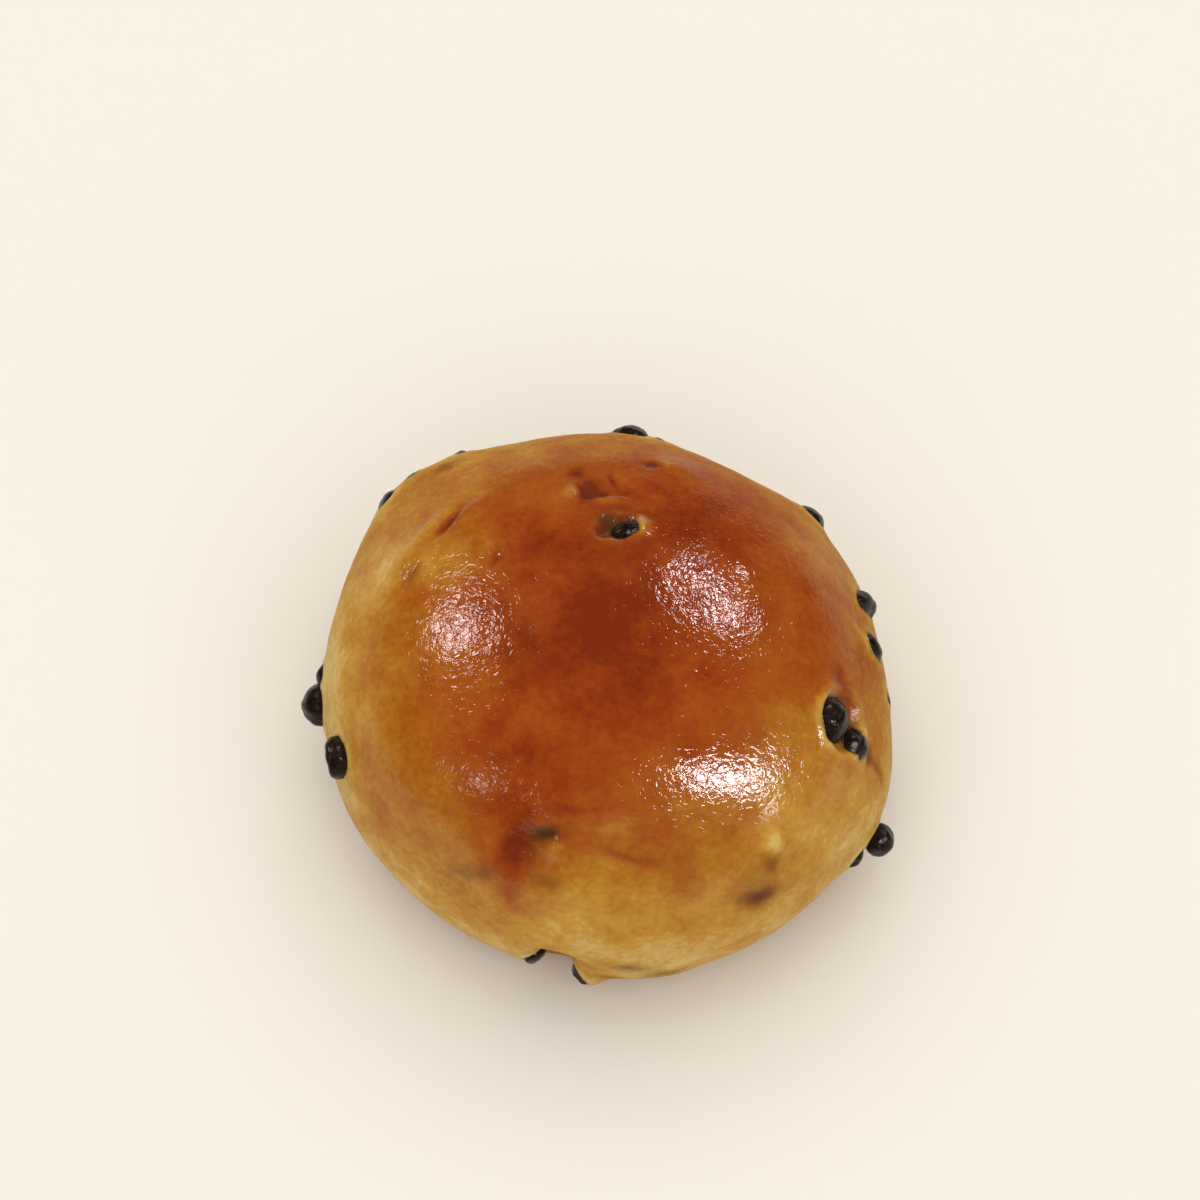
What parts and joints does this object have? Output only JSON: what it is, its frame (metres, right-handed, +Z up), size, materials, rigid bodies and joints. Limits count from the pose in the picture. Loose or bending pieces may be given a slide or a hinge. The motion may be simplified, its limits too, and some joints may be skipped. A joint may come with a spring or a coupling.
{
  "type": "chocolate bread roll",
  "caption": "Soft round domed bread roll with a glossy baked crust, a flat foot and chocolate drops showing through its sides.",
  "frame": {"origin": "on the flat foot, under the middle of the outer box", "axes": "+Z up out of the foot through the top of the dome, -Y towards the side that faces the viewer, +X to the viewer's right"},
  "size_m": [0.098, 0.0948, 0.052],
  "materials": {
    "crust": "egg-washed baked bread crust, glossy brown on top and paler and duller towards the foot",
    "chocolate": "baked dark chocolate with a soft sheen"
  },
  "bodies": {
    "root": {"bread_roll": "crust"}
  },
  "joints": []
}
